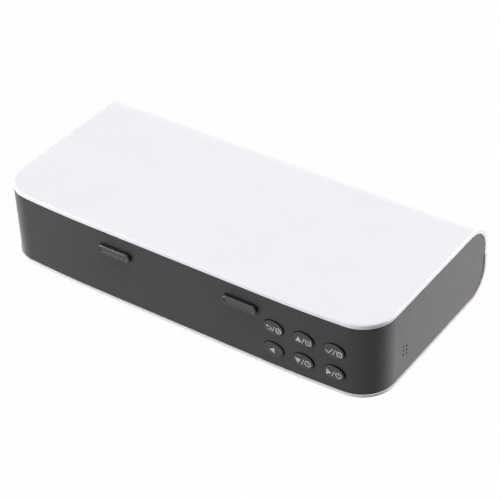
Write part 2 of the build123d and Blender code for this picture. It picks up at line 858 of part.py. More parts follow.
for side, latch_x in zip(("left", "right"), latch_xs):
    with BuildPart() as latch:
        with BuildSketch(front_face.offset(latch_proud)):
            with Locations((latch_x, latch_z)):
                SlotOverall(latch_width, latch_height)
        extrude(amount=-(latch_proud + wall + fit_gap))
        fillet(latch.faces().sort_by(Axis.Y)[0].edges(), latch_edge_radius)
        with BuildSketch(front_face.offset(latch_proud)):
            with Locations((latch_x, latch_z)):
                SlotOverall(latch_width - 2 * dish_margin, latch_height - 2 * dish_margin)
        extrude(amount=-dish_depth, mode=Mode.SUBTRACT)
        dish_floor = latch.faces().filter_by(Axis.Y).group_by(Axis.Y)[1]
        fillet(dish_floor.edges(), dish_floor_radius)
        with BuildSketch(Plane.XZ.offset(-flange_front_y)):
            with Locations((latch_x, latch_z)):
                SlotOverall(latch_width + 2 * flange_rim_x, latch_height + 2 * flange_rim_z)
        extrude(amount=-flange_thickness)
        with BuildSketch(Plane.XY.offset(latch_z - latch_frame_height / 2)):
            with Locations((latch_x, (flange_front_y + bar_rear_y) / 2)):
                with GridLocations(2 * arm_span - arm_width, 1, 2, 1):
                    Rectangle(arm_width, bar_rear_y - flange_front_y)
        extrude(amount=latch_frame_height)
        with BuildSketch(Plane.XY.offset(latch_z - latch_frame_height / 2)):
            with Locations((latch_x, (bar_front_y + bar_rear_y) / 2)):
                Rectangle(2 * arm_span, bar_thickness)
        extrude(amount=bar_height)
    finish(latch, f"{side}_latch")

    with BuildPart() as latch_spring:
        with BuildSketch(Plane.XY.offset(bar_middle_z - spring_height / 2)):
            with BuildLine():
                ThreePointArc(
                    (latch_x - spring_half_span, well_outer_front_y - spring_wire),
                    (latch_x, bar_rear_y + spring_wire),
                    (latch_x + spring_half_span, well_outer_front_y - spring_wire),
                )
            trace(line_width=spring_wire)
        extrude(amount=spring_height)
    finish(latch_spring, f"{side}_latch_spring")

# ---------------------------------------------------------------- battery and cradle
cell_battery_radius = 9.2
cell_battery_length = 65.0
battery_x = 70.0
battery_y = 0.0
cradle_floor = 1.2
cradle_wall = 1.5
cradle_height = 9.0
contact_radius = 2.8
contact_rise = 0.8
battery_z = band_bottom_z + cradle_floor + cell_battery_radius + fit_gap
battery_rear_y = battery_y + cell_battery_length / 2

with BuildPart() as battery_cell:
    with BuildSketch(Plane.XZ.offset(-battery_rear_y)):
        with Locations((battery_x, battery_z)):
            Circle(cell_battery_radius)
    extrude(amount=cell_battery_length - contact_rise)
    with BuildSketch(Plane.XZ.offset(cell_battery_length - contact_rise - battery_rear_y)):
        with Locations((battery_x, battery_z)):
            Circle(contact_radius)
    extrude(amount=contact_rise)
finish(battery_cell, "battery_cell")

with BuildPart() as battery_cradle:
    cradle_length = cell_battery_length + 2 * (cradle_wall + fit_gap)
    cradle_width = 2 * (cell_battery_radius + fit_gap + cradle_wall)
    with BuildSketch(Plane.XY.offset(band_bottom_z)):
        with Locations((battery_x, battery_y)):
            Rectangle(cradle_width, cradle_length)
    extrude(amount=cradle_height)
    with BuildSketch(Plane.XZ.offset(-battery_rear_y - fit_gap)):
        with Locations((battery_x, battery_z)):
            Circle(cell_battery_radius + fit_gap)
    extrude(amount=cell_battery_length + 2 * fit_gap, mode=Mode.SUBTRACT)
finish(battery_cradle, "battery_cradle")

# ---------------------------------------------------------------- speaker
speaker_depth = 3.6
speaker_rim = 1.2
magnet_radius = 6.0
magnet_depth = 2.0
with BuildPart() as speaker:
    with BuildSketch(Plane.YZ.offset(inner_half_length - fit_gap)):
        with Locations((sound_hole_middle_y, sound_hole_middle_z)):
            Circle(speaker_radius)
    extrude(amount=-speaker_depth)
    with BuildSketch(Plane.YZ.offset(inner_half_length - fit_gap)):
        with Locations((sound_hole_middle_y, sound_hole_middle_z)):
            Circle(speaker_radius - speaker_rim)
    extrude(amount=-speaker_rim, mode=Mode.SUBTRACT)
    with BuildSketch(Plane.YZ.offset(inner_half_length - fit_gap - speaker_depth)):
        with Locations((sound_hole_middle_y, sound_hole_middle_z)):
            Circle(magnet_radius)
    extrude(amount=-magnet_depth)
finish(speaker, "speaker")

# ---------------------------------------------------------------- charging socket and board
socket_shell = 0.35
tongue_width = 6.7
tongue_thickness = 0.7
socket_mouth_y = base_rear_y - 0.6
charge_board_length = 20.0
charge_board_front_y = 32.5
charge_board_rear_y = 49.9

with BuildPart() as charging_socket:
    with BuildSketch(Plane.XZ.offset(-socket_mouth_y)):
        with Locations((usb_x, usb_z)):
            SlotOverall(usb_width, usb_height)
            SlotOverall(
                usb_width - 2 * socket_shell, usb_height - 2 * socket_shell, mode=Mode.SUBTRACT
            )
            Rectangle(tongue_width, tongue_thickness)
    extrude(amount=usb_depth)
    with BuildSketch(Plane.XZ.offset(usb_depth - socket_mouth_y)):
        with Locations((usb_x, usb_z)):
            SlotOverall(usb_width, usb_height)
    extrude(amount=socket_shell)
finish(charging_socket, "charging_socket")

with BuildPart() as charging_board:
    with BuildSketch(Plane.XY.offset(charge_board_z)):
        with Locations((usb_x, (charge_board_front_y + charge_board_rear_y) / 2)):
            Rectangle(charge_board_length, charge_board_rear_y - charge_board_front_y)
        with Locations((usb_x, charge_post_y)):
            with GridLocations(charge_post_spacing, 1, 2, 1):
                Circle(pilot_radius, mode=Mode.SUBTRACT)
    extrude(amount=charge_board_thickness)
finish(charging_board, "charging_board")

# ---------------------------------------------------------------- feet, pins and screws
with BuildPart() as rubber_feet:
    with BuildSketch(Plane.XY):
        with Locations(*foot_places):
            Circle(foot_radius - assembly_gap)
    extrude(amount=foot_height + foot_recess)
    chamfer(rubber_feet.edges().group_by(Axis.Z)[0], foot_recess)
finish(rubber_feet, "rubber_feet")

with BuildPart() as hinge_pins:
    for x in lid_knuckle_xs:
        pin_reach = side_knuckle_length + knuckle_side_gap - assembly_gap
        extrude(
            round_profile(x - pin_reach, pin_radius), amount=knuckle_length + 2 * pin_reach
        )
finish(hinge_pins, "hinge_pins")

with BuildPart() as base_screws:
    with BuildSketch(Plane.XY.offset(base_bottom_z + counterbore_depth)):
        with Locations(*boss_places):
            Circle(screw_head_radius)
    extrude(amount=-screw_head_height)
    with BuildSketch(Plane.XY.offset(base_bottom_z + counterbore_depth)):
        with Locations(*boss_places):
            Circle(screw_radius)
    extrude(amount=screw_length)
finish(base_screws, "base_screws")

board_screw_head_radius = 1.6
board_screw_head_height = 0.9
board_screw_radius = 0.8
board_screw_length = 4.0
light_screw_length = 2.6
main_screw_places = [
    (main_board_x + dx * main_post_spacing_x / 2, main_board_y + dy * main_post_spacing_y / 2)
    for dx in (-1, 1)
    for dy in (-1, 1)
]
charge_screw_places = [(usb_x + d * charge_post_spacing / 2, charge_post_y) for d in (-1, 1)]
with BuildPart() as board_screws:
    for plane, places in (
        (Plane.XY.offset(main_board_z + board_thickness), main_screw_places),
        (Plane.XY.offset(charge_board_z + charge_board_thickness), charge_screw_places),
    ):
        with BuildSketch(plane):
            with Locations(*places):
                Circle(board_screw_head_radius)
        extrude(amount=board_screw_head_height)
        with BuildSketch(plane):
            with Locations(*places):
                Circle(board_screw_radius)
        extrude(amount=-board_screw_length)
    for plane, places, length in (
        (Plane.XZ.offset(-key_board_front_y - board_thickness), key_screw_places, board_screw_length),
        (Plane.XY.offset(light_board_top_z - light_board_thickness), light_boss_places, light_screw_length),
    ):
        with BuildSketch(plane):
            with Locations(*places):
                Circle(board_screw_head_radius)
        extrude(amount=-board_screw_head_height)
        with BuildSketch(plane):
            with Locations(*places):
                Circle(board_screw_radius)
        extrude(amount=length)
finish(board_screws, "board_screws")
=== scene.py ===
import math

import bpy
from mathutils import Matrix, Vector


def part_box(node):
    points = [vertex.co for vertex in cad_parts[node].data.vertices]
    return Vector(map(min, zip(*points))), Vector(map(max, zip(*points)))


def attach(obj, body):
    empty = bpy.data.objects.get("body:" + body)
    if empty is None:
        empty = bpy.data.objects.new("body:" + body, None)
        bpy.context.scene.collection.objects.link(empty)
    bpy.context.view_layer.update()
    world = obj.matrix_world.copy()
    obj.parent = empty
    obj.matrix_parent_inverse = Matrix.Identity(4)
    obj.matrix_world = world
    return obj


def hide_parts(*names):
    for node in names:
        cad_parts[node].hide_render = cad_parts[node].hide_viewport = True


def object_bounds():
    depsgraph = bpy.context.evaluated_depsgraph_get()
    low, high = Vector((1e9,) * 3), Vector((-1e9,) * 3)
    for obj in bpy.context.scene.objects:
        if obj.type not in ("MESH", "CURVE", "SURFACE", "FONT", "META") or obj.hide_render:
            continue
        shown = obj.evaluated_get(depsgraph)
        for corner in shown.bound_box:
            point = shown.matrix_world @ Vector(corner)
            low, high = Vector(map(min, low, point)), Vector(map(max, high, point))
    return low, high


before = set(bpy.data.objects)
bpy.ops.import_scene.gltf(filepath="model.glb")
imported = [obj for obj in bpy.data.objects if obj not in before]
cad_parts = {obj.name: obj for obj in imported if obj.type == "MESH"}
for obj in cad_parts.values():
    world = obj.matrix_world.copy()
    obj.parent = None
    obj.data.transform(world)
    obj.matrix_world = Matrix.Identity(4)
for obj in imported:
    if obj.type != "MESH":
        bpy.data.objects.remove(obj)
cad_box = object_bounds()
MM = 0.001

# ---------------------------------------------------------------- white shells
# The lid and the base are two thin injection mouldings in white satin plastic. They wrap
# the dark body from above and below and meet in a seam along the back. The tool's surface
# is very fine, so only a faint waviness and the flow of the melt show.


def start_material(name):
    """A new node material; gives the material, its node tree and its Principled shader."""
    material = bpy.data.materials.new(name)
    material.use_nodes = True
    tree = material.node_tree
    return material, tree, tree.nodes["Principled BSDF"]


def object_point(tree, stretch=(1.0, 1.0, 1.0)):
    """The point on the piece, in metres, stretched for patterns that run one way."""
    coordinates = tree.nodes.new("ShaderNodeTexCoord")
    mapping = tree.nodes.new("ShaderNodeMapping")
    mapping.inputs["Scale"].default_value = stretch
    tree.links.new(coordinates.outputs["Object"], mapping.inputs["Vector"])
    return mapping.outputs["Vector"]


def cloud(tree, point, size, detail=2.0):
    """A soft random pattern whose patches are about size metres across."""
    noise = tree.nodes.new("ShaderNodeTexNoise")
    noise.inputs["Scale"].default_value = 1.0 / size
    noise.inputs["Detail"].default_value = detail
    tree.links.new(point, noise.inputs["Vector"])
    return noise.outputs["Fac"]


def spread(tree, value, low, high, start=0.3, end=0.7):
    """Maps a pattern's middle range onto low to high, as for roughness."""
    remap = tree.nodes.new("ShaderNodeMapRange")
    remap.inputs["From Min"].default_value = start
    remap.inputs["From Max"].default_value = end
    remap.inputs["To Min"].default_value = low
    remap.inputs["To Max"].default_value = high
    tree.links.new(value, remap.inputs["Value"])
    return remap.outputs["Result"]


def tint(tree, value, first, second, start=0.3, end=0.7):
    """Colours a pattern from the first colour to the second."""
    ramp = tree.nodes.new("ShaderNodeValToRGB")
    ramp.color_ramp.elements[0].position = start
    ramp.color_ramp.elements[0].color = (*first, 1.0)
    ramp.color_ramp.elements[1].position = end
    ramp.color_ramp.elements[1].color = (*second, 1.0)
    tree.links.new(value, ramp.inputs["Fac"])
    return ramp.outputs["Color"]


def raise_surface(tree, height, depth, strength=1.0, under=None):
    """A bump of that depth in metres, laid over another bump if one is given."""
    bump = tree.nodes.new("ShaderNodeBump")
    bump.inputs["Distance"].default_value = depth
    bump.inputs["Strength"].default_value = strength
    tree.links.new(height, bump.inputs["Height"])
    if under is not None:
        tree.links.new(under, bump.inputs["Normal"])
    return bump.outputs["Normal"]


def moulded(name, dark, light, roughness, grain, grain_depth, specular=0.5):
    """Moulded plastic: cloudy colour, uneven gloss and the grain of the tool's surface."""
    material, tree, shader = start_material(name)
    point = object_point(tree)
    patches = cloud(tree, point, 26 * MM, 3.0)
    tree.links.new(tint(tree, patches, dark, light), shader.inputs["Base Color"])
    gloss = cloud(tree, point, 9 * MM, 4.0)
    tree.links.new(
        spread(tree, gloss, roughness - 0.04, roughness + 0.04), shader.inputs["Roughness"]
    )
    waves = raise_surface(tree, cloud(tree, point, 14 * MM), 0.02 * MM, 0.3)
    skin = raise_surface(tree, cloud(tree, point, grain, 1.0), grain_depth, 0.6, waves)
    tree.links.new(skin, shader.inputs["Normal"])
    shader.inputs["Specular IOR Level"].default_value = specular
    return material


def dress(material, *names):
    """Gives CAD nodes their finish."""
    for name in names:
        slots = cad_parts[name].material_slots
        for slot in slots:
            slot.material = material
        if not slots:
            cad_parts[name].data.materials.append(material)


shell_white = moulded(
    "shell_white",
    dark=(0.800, 0.800, 0.835),
    light=(0.822, 0.822, 0.855),
    roughness=0.5,
    grain=0.5 * MM,
    grain_depth=0.002 * MM,
    specular=0.14,
)
dress(shell_white, "lid_shell", "base_shell")

# ---------------------------------------------------------------- housing band
# The body between the shells is one black moulding. Its front and ends have a fine
# spark-eroded grain that gives a soft grey sheen. Its faces that look up or back, like the
# strip seen in the gap under the lid, are coloured near black as painted shade, so the gap
# reads as a dark line. Six small holes at the right end let the speaker out.


def blend_colours(tree, share, first, second):
    """The first colour where the share is 0 and the second where it is 1."""
    mix = tree.nodes.new("ShaderNodeMix")
    mix.data_type = "RGBA"
    tree.links.new(share, mix.inputs["Factor"])
    for socket, colour in (("A", first), ("B", second)):
        if isinstance(colour, tuple):
            mix.inputs[socket].default_value = (*colour, 1.0)
        else:
            tree.links.new(colour, mix.inputs[socket])
    return mix.outputs["Result"]


def facing(tree, axis, start, end):
    """0 where the surface leans along the axis by less than start, and 1 past end."""
    directions = tree.nodes.new("ShaderNodeTexCoord")
    lean = tree.nodes.new("ShaderNodeSeparateXYZ")
    tree.links.new(directions.outputs["Normal"], lean.inputs["Vector"])
    return spread(tree, lean.outputs[axis], 0.0, 1.0, start, end)


band_grey, band_tree, band_shader = start_material("band_grey")
band_point = object_point(band_tree)
band_colour = tint(
    band_tree,
    cloud(band_tree, band_point, 26 * MM, 3.0),
    (0.0140, 0.0131, 0.0136),
    (0.0165, 0.0156, 0.0161),
)
# Painted shade: faces that look up or back, like the strip in the gap under the lid, are coloured
# near black.
band_gap_shade = (0.002, 0.002, 0.002)
band_colour = blend_colours(band_tree, facing(band_tree, "Z", 0.4, 0.6), band_colour, band_gap_shade)
band_colour = blend_colours(band_tree, facing(band_tree, "Y", 0.3, 0.5), band_colour, band_gap_shade)
band_tree.links.new(band_colour, band_shader.inputs["Base Color"])
band_gloss = cloud(band_tree, band_point, 9 * MM, 4.0)
band_tree.links.new(spread(band_tree, band_gloss, 0.46, 0.54), band_shader.inputs["Roughness"])
band_waves = raise_surface(band_tree, cloud(band_tree, band_point, 14 * MM), 0.02 * MM, 0.3)
band_grain = cloud(band_tree, band_point, 0.35 * MM, 1.0)
band_skin = raise_surface(band_tree, band_grain, 0.012 * MM, 0.6, band_waves)
band_tree.links.new(band_skin, band_shader.inputs["Normal"])
band_shader.inputs["Specular IOR Level"].default_value = 0.32
band_shader.inputs["Specular Tint"].default_value = (1.0, 0.95, 1.0, 1.0)
band_shader.inputs["Sheen Weight"].default_value = 1.0
band_shader.inputs["Sheen Roughness"].default_value = 0.35
band_shader.inputs["Sheen Tint"].default_value = (1.0, 0.955, 0.99, 1.0)
dress(band_grey, "housing_band")

# ---------------------------------------------------------------- latches and their springs
# Two gloss black push buttons with a shallow dished face. Each is one moulding with the
# frame behind it that lets the lid's hook go, and a bent leaf of spring steel returns it.
latch_black = moulded(
    "latch_black",
    dark=(0.012, 0.011, 0.012),
    light=(0.016, 0.015, 0.016),
    roughness=0.27,
    grain=0.6 * MM,
    grain_depth=0.001 * MM,
    specular=0.75,
)
dress(latch_black, "left_latch", "right_latch")


def rolled_metal(name, dark, light, roughness, stretch):
    """Drawn or rolled metal with fine lines along its run."""
    material, tree, shader = start_material(name)
    point = object_point(tree, stretch)
    lines = cloud(tree, point, 0.4 * MM, 3.0)
    tree.links.new(tint(tree, lines, dark, light), shader.inputs["Base Color"])
    tree.links.new(
        spread(tree, lines, roughness - 0.07, roughness + 0.07), shader.inputs["Roughness"]
    )
    tree.links.new(raise_surface(tree, lines, 0.004 * MM, 0.4), shader.inputs["Normal"])
    shader.inputs["Metallic"].default_value = 1.0
    return material


spring_steel = rolled_metal(
    "spring_steel", (0.42, 0.41, 0.40), (0.56, 0.55, 0.54), 0.28, (0.2, 1.0, 1.0)
)
dress(spring_steel, "left_latch_spring", "right_latch_spring")

# ---------------------------------------------------------------- keys
# Six oval caps with a dark grey face. Their rounded rim and sides are coloured near black
# as painted shade for the dark gap round each cap, and each cap's flange holds it behind the front
# wall.
key_face_and_gap_shade, key_tree, key_shader = start_material("key_face_and_gap_shade")
key_point = object_point(key_tree)
key_grey = tint(
    key_tree, cloud(key_tree, key_point, 3 * MM), (0.056, 0.053, 0.055), (0.068, 0.064, 0.066)
)
# Painted shade: all but the flat front face is near black, for the shaded gap round the cap.
key_tree.links.new(
    blend_colours(key_tree, facing(key_tree, "Y", -0.93, -0.8), key_grey, (0.001, 0.001, 0.001)),
    key_shader.inputs["Base Color"],
)
key_gloss = cloud(key_tree, key_point, 1.2 * MM, 3.0)
key_tree.links.new(spread(key_tree, key_gloss, 0.3, 0.4), key_shader.inputs["Roughness"])
key_grain = raise_surface(key_tree, cloud(key_tree, key_point, 0.3 * MM, 1.0), 0.004 * MM, 0.6)
key_tree.links.new(key_grain, key_shader.inputs["Normal"])
key_shader.inputs["Specular IOR Level"].default_value = 0.16
key_names = ("key_back", "key_up", "key_ok", "key_left", "key_down", "key_right")
dress(key_face_and_gap_shade, *key_names)

# ---------------------------------------------------------------- key signs
# The signs are pad-printed on the caps in pale grey ink, a few hundredths of a millimetre
# thick. A slash parts the two signs of a key that has two jobs.
ink_depth = 0.05 * MM
ink_proud = 0.03 * MM
stroke = 0.5
fine_stroke = 0.4
slash_stroke = 0.42
sign_radius = 1.75
arrow_radius = 2.0
arrow_blunting = 0.12 * MM
sign_row = -0.5
first_sign = -2.7
second_sign = 2.95
sign_pieces = []


def start_stroke():
    """Takes the selection off everything, so that an operator acts on one new shape."""
    if bpy.context.object and bpy.context.object.mode == "EDIT":
        bpy.ops.object.mode_set(mode="OBJECT")
    bpy.ops.object.select_all(action="DESELECT")


def ink_bar(start, end, width=stroke):
    """A straight stroke between two points (x, z), in millimetres from the key's middle."""
    start_stroke()
    run = Vector(end) - Vector(start)
    centre = (Vector(start) + Vector(end)) / 2
    bpy.ops.mesh.primitive_plane_add(size=1)
    bar = bpy.context.object
    bar.scale = ((run.length + width * 0.6) * MM, width * MM, 1)
    bar.rotation_euler = (math.pi / 2, -math.atan2(run.y, run.x), 0)
    bar.location = Vector((centre.x, 0, centre.y)) * MM
    bpy.ops.object.transform_apply(location=True, rotation=True, scale=True)
    sign_pieces.append(bar)


def ink_patch(x, z, radius, sides, turn):
    """A filled shape with that many sides; its first corner stands at turn degrees."""
    start_stroke()
    bpy.ops.mesh.primitive_circle_add(vertices=sides, radius=radius * MM, fill_type="NGON")
    patch = bpy.context.object
    patch.rotation_euler = (math.pi / 2, -math.radians(turn - 90), 0)
    patch.location = (x * MM, 0, z * MM)
    bpy.ops.object.transform_apply(location=True, rotation=True, scale=True)
    sign_pieces.append(patch)
    return patch


def ink_ring(x, z, radius, sides=36, turn=0.0, gap=None):
    """A printed ring; gap gives the first and last angle, in degrees, of its open part."""
    ring = ink_patch(x, z, radius, sides, turn)
    bpy.ops.object.mode_set(mode="EDIT")
    bpy.ops.mesh.select_all(action="SELECT")
    bpy.ops.mesh.inset(thickness=stroke * MM)
    bpy.ops.mesh.delete(type="FACE")
    bpy.ops.object.mode_set(mode="OBJECT")
    if gap:
        for face in ring.data.polygons:
            angle = math.degrees(math.atan2(face.center.z - z * MM, face.center.x - x * MM))
            face.select = gap[0] < angle % 360 < gap[1]
        bpy.ops.object.mode_set(mode="EDIT")
        bpy.ops.mesh.delete(type="FACE")
        bpy.ops.object.mode_set(mode="OBJECT")


def ink_arrow(x, z, turn, radius=arrow_radius):
    """A filled arrow head that points to turn degrees, with its corners just blunted."""
    ink_patch(x, z, radius, 3, turn)
    bpy.ops.object.mode_set(mode="EDIT")
    bpy.ops.mesh.select_all(action="SELECT")
    bpy.ops.mesh.bevel(offset=arrow_blunting, affect="VERTICES")
    bpy.ops.object.mode_set(mode="OBJECT")


def ink_tick(x, z, size):
    """A tick whose long arm rises to the right."""
    foot = (x - 0.12 * size, z - 0.42 * size)
    ink_bar((x - 0.5 * size, z - 0.02 * size), foot)
    ink_bar(foot, (x + 0.5 * size, z + 0.45 * size))


def ink_slash():
    """The stroke between a key's two signs."""
    ink_bar((-0.7, sign_row - 1.6), (0.7, sign_row + 1.6), slash_stroke)


def ink_hands(x, z, size):
    """The two hands of a clock."""
    ink_bar((x, z + size), (x, z), fine_stroke)
    ink_bar((x, z), (x + 0.8 * size, z), fine_stroke)


def thicken(print_piece):
    """Gives a flat print the ink's thickness, behind the side that its faces look to."""
    film = print_piece.modifiers.new("ink", "SOLIDIFY")
    film.thickness = ink_depth
    film.offset = -1.0
    bpy.ops.object.modifier_apply(modifier="ink")


def print_on(key, row_shift):
    """Joins the strokes into one print, lays it on the key's face and lets it ride there."""
    start_stroke()
    print_piece = sign_pieces[0]
    for shape in sign_pieces:
        shape.select_set(True)
    bpy.context.view_layer.objects.active = print_piece
    bpy.ops.object.join()
    print_piece.name = key + "_print"
    low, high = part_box(key)
    print_piece.location = (
        (low[0] + high[0]) / 2 + row_shift * MM,
        low[1] - ink_proud,
        (low[2] + high[2]) / 2,
    )
    bpy.ops.object.transform_apply(location=True, rotation=True, scale=True)
    thicken(print_piece)
    print_piece.data.materials.append(sign_ink)
    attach(print_piece, key)
    sign_pieces.clear()


def printed(name, dark, light):
    """Pad-printing ink: a matt film that is a little uneven, with the pad's fine speckle."""
    material, tree, shader = start_material(name)
    point = object_point(tree)
    speckle = cloud(tree, point, 0.25 * MM, 3.0)
    tree.links.new(tint(tree, speckle, dark, light), shader.inputs["Base Color"])
    tree.links.new(spread(tree, speckle, 0.5, 0.66), shader.inputs["Roughness"])
    tree.links.new(raise_surface(tree, speckle, 0.004 * MM, 0.5), shader.inputs["Normal"])
    shader.inputs["Specular IOR Level"].default_value = 0.3
    return material


sign_ink = printed("sign_ink", (0.40, 0.40, 0.39), (0.52, 0.52, 0.50))
upper_row = 0.25
lower_row = -0.25
bend = 0.9
bend_radius = 1.11
bend_x = first_sign + 0.75
frame_reach = 1.4
frame_gap_x = 0.5
flap_reach = 1.3

# key_back: an arrow that bends back, and a circled tick
ink_arrow(first_sign - 0.75, sign_row + bend, 180, 1.0)
ink_bar((first_sign - 0.6, sign_row + bend), (bend_x, sign_row + bend))
ink_ring(bend_x, sign_row, bend_radius, gap=(100, 260))
ink_bar((first_sign - 0.5, sign_row - bend), (bend_x, sign_row - bend))
ink_slash()
ink_ring(second_sign, sign_row, sign_radius)
ink_tick(second_sign, sign_row, 1.7)
print_on("key_back", upper_row)

# key_up: an up arrow, and clock hands in a square frame with an open corner
ink_arrow(first_sign, sign_row - 0.25, 90)
ink_slash()
frame_corners = [
    (second_sign - frame_reach, sign_row + frame_reach),
    (second_sign - frame_reach, sign_row - frame_reach),
    (second_sign + frame_reach, sign_row - frame_reach),
    (second_sign + frame_reach, sign_row + frame_reach),
    (second_sign + frame_gap_x, sign_row + frame_reach),
]
for corner, next_corner in zip(frame_corners, frame_corners[1:]):
    ink_bar(corner, next_corner)
ink_hands(second_sign - 0.2, sign_row - 0.2, 1.1)
print_on("key_up", upper_row)

# key_ok: a tick, and an envelope
ink_tick(first_sign, sign_row, 3.5)
ink_slash()
ink_ring(second_sign, sign_row, 2.2, sides=4, turn=45)
for side in (-flap_reach, flap_reach):
    ink_bar((second_sign + side, sign_row + flap_reach), (second_sign, sign_row), fine_stroke)
print_on("key_ok", upper_row)

# key_left: a left arrow
ink_arrow(-0.1, sign_row, 180)
print_on("key_left", lower_row)

# key_down: a down arrow, and a clock
ink_arrow(first_sign, sign_row + 0.25, 270)
ink_slash()
ink_ring(second_sign, sign_row, sign_radius)
ink_hands(second_sign, sign_row - 0.15, 0.85)
print_on("key_down", lower_row)

# key_right: a right arrow, and a power sign
ink_arrow(first_sign - 0.1, sign_row, 0)
ink_slash()
ink_ring(second_sign, sign_row, sign_radius, gap=(65, 115))
ink_bar((second_sign, sign_row + 1.7), (second_sign, sign_row + 0.2))
print_on("key_right", lower_row)

# ---------------------------------------------------------------- key board and mat
# Behind the caps lies a grey silicone mat with a dome for each key, on a circuit board.
# Boards are glass cloth and resin under a green solder mask with raised copper tracks.


def rubber(name, dark, light, roughness=0.62):
    """Silicone or rubber: matt, faintly mottled and dusty."""
    material, tree, shader = start_material(name)
    point = object_point(tree)
    mottle = cloud(tree, point, 5 * MM, 4.0)
    tree.links.new(tint(tree, mottle, dark, light), shader.inputs["Base Color"])
    tree.links.new(
        spread(tree, mottle, roughness - 0.06, roughness + 0.06), shader.inputs["Roughness"]
    )
    skin = raise_surface(tree, cloud(tree, point, 0.35 * MM), 0.012 * MM, 0.6)
    tree.links.new(skin, shader.inputs["Normal"])
    shader.inputs["Specular IOR Level"].default_value = 0.3
    return material


def boundary(tree, point, axis, level, width=0.02 * MM):
    """0 below a level along one axis of the piece and 1 above it."""
    parts = tree.nodes.new("ShaderNodeSeparateXYZ")
    tree.links.new(point, parts.inputs["Vector"])
    return spread(tree, parts.outputs[axis], 0.0, 1.0, level - width, level + width)


def circuit(name, upright=False, parts_level=1.0):
    """A populated board: mask and tracks up to a level, and black parts above it."""
    material, tree, shader = start_material(name)
    point = object_point(tree, (1.0, 1.0, 0.0))
    if upright:
        point = object_point(tree, (1.0, 0.0, 1.0))
        point.node.inputs["Rotation"].default_value = (-math.pi / 2, 0, 0)
    tracks = tree.nodes.new("ShaderNodeTexBrick")
    tracks.inputs["Scale"].default_value = 160.0
    tracks.inputs["Mortar Size"].default_value = 0.045
    tracks.inputs["Color1"].default_value = (0.010, 0.085, 0.035, 1.0)
    tracks.inputs["Color2"].default_value = (0.013, 0.100, 0.042, 1.0)
    tracks.inputs["Mortar"].default_value = (0.030, 0.190, 0.080, 1.0)
    tree.links.new(point, tracks.inputs["Vector"])
    above = boundary(tree, object_point(tree), "Z", parts_level)
    colour = blend_colours(tree, above, tracks.outputs["Color"], (0.018, 0.018, 0.019))
    tree.links.new(colour, shader.inputs["Base Color"])
    cloth = cloud(tree, point, 0.5 * MM)
    tree.links.new(spread(tree, cloth, 0.28, 0.4), shader.inputs["Roughness"])
    raised = raise_surface(tree, tracks.outputs["Fac"], 0.03 * MM, 0.5)
    tree.links.new(raised, shader.inputs["Normal"])
    return material


upright_board = circuit("upright_board", upright=True)
dress(rubber("mat_silicone", (0.40, 0.40, 0.41), (0.46, 0.46, 0.47)), "keypad_mat")
dress(upright_board, "key_board")

# ---------------------------------------------------------------- deck
# The deck is a grey moulding with a fine grain that holds the tray well, the slots for the
# lid's hooks and the display window. The day numbers behind the trays are printed on it.
deck_grey = moulded(
    "deck_grey",
    dark=(0.085, 0.084, 0.086),
    light=(0.098, 0.097, 0.099),
    roughness=0.5,
    grain=0.4 * MM,
    grain_depth=0.010 * MM,
    specular=0.3,
)
dress(deck_grey, "deck")
deck_ink = printed("deck_ink", (0.62, 0.62, 0.61), (0.74, 0.74, 0.72))
number_height = 3.0 * MM
number_from_rear = 1.9 * MM
deck_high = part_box("deck")[1]
for day in range(1, 8):
    start_stroke()
    bpy.ops.object.text_add()
    number = bpy.context.object
    number.data.body = str(day)
    number.data.size = number_height
    number.data.align_x = "CENTER"
    number.data.align_y = "CENTER"
    number.data.resolution_u = 3
    number.name = f"day_number_{day}"
    bpy.ops.object.convert(target="MESH")
    tray_low, tray_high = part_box(f"day_tray_{day}")
    number.location = (
        (tray_low[0] + tray_high[0]) / 2,
        deck_high[1] - number_from_rear,
        deck_high[2] + ink_proud,
    )
    bpy.ops.object.transform_apply(location=True, rotation=True, scale=True)
    thicken(number)
    number.data.materials.clear()
    number.data.materials.append(deck_ink)
    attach(number, "body")

# ---------------------------------------------------------------- lid liner and gasket
# The liner is a pale satin moulding glued inside the lid, with the two hooks on it. The
# gasket is a white silicone strip in its groove.
liner_grey = moulded(
    "liner_grey",
    dark=(0.700, 0.700, 0.720),
    light=(0.740, 0.740, 0.760),
    roughness=0.48,
    grain=0.4 * MM,
    grain_depth=0.008 * MM,
)
dress(liner_grey, "lid_liner")
dress(rubber("gasket_silicone", (0.66, 0.66, 0.66), (0.74, 0.74, 0.74)), "lid_gasket")

# ---------------------------------------------------------------- day trays
# Seven lift-out trays of frosted polypropylene, one a day, each with four scooped cells.
# Light from below shines through their floors.
tray_frost, tray_tree, tray_shader = start_material("tray_frost")
tray_point = object_point(tray_tree)
frost = cloud(tray_tree, tray_point, 0.6 * MM, 3.0)
flow = cloud(tray_tree, tray_point, 18 * MM, 2.0)
tray_tree.links.new(
    tint(tray_tree, flow, (0.80, 0.83, 0.86), (0.86, 0.88, 0.90)), tray_shader.inputs["Base Color"]
)
tray_tree.links.new(spread(tray_tree, frost, 0.3, 0.42), tray_shader.inputs["Roughness"])
tray_skin = raise_surface(tray_tree, frost, 0.006 * MM, 0.5)
tray_tree.links.new(tray_skin, tray_shader.inputs["Normal"])
tray_shader.inputs["Transmission Weight"].default_value = 0.25
tray_shader.inputs["IOR"].default_value = 1.49
dress(tray_frost, *(f"day_tray_{day}" for day in range(1, 8)))

# ---------------------------------------------------------------- light board and lights
# Under the well a board carries one white light-emitting diode below each cell. Its lens is
# a block of milky resin with the yellow phosphor showing through.
flat_board = circuit("flat_board")
dress(flat_board, "light_board")
dress(rubber("light_resin", (0.72, 0.66, 0.30), (0.82, 0.78, 0.50), 0.35), "cell_lights")

